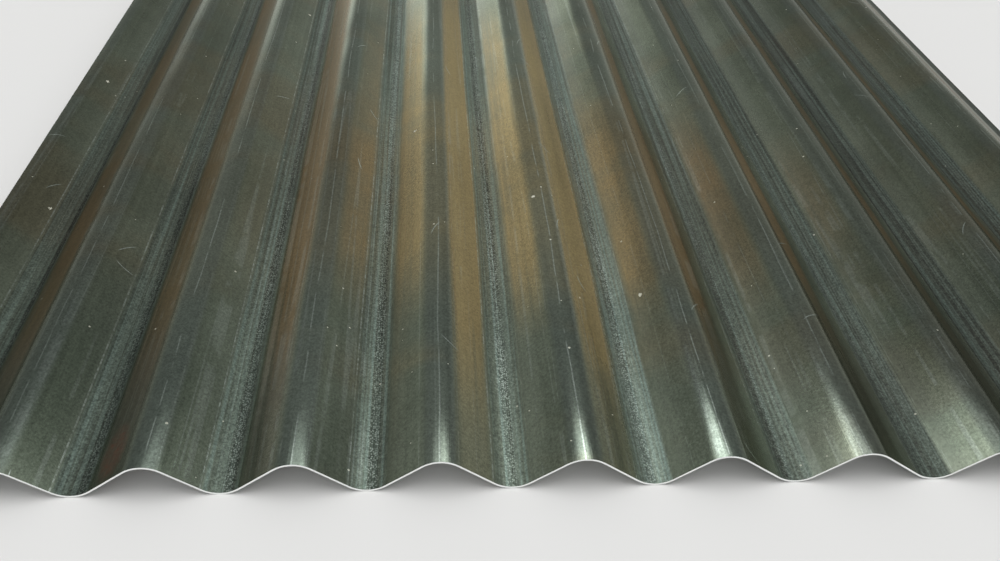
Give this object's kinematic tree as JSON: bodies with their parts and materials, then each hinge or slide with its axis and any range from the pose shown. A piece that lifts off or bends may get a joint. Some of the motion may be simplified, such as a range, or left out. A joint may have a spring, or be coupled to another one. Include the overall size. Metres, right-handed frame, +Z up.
{
  "type": "corrugated metal sheet",
  "caption": "Long galvanised steel sheet for roofs and walls, rolled into even round waves along its length, with sheared square ends.",
  "frame": {"origin": "middle of the sheet's length and width, on the level that the undersides of its troughs rest on", "axes": "+Y along the ridges and the sheet's length, +X across the waves towards the side edge that lies in a trough, +Z up through the sheet"},
  "size_m": [0.8002, 2.44, 0.0201],
  "materials": {
    "galvanised_steel": "smooth hot-dip zinc, half mirror, darkened grey green, with faint roller marks along the troughs"
  },
  "bodies": {
    "root": {"corrugated_sheet": "galvanised_steel"}
  },
  "joints": []
}
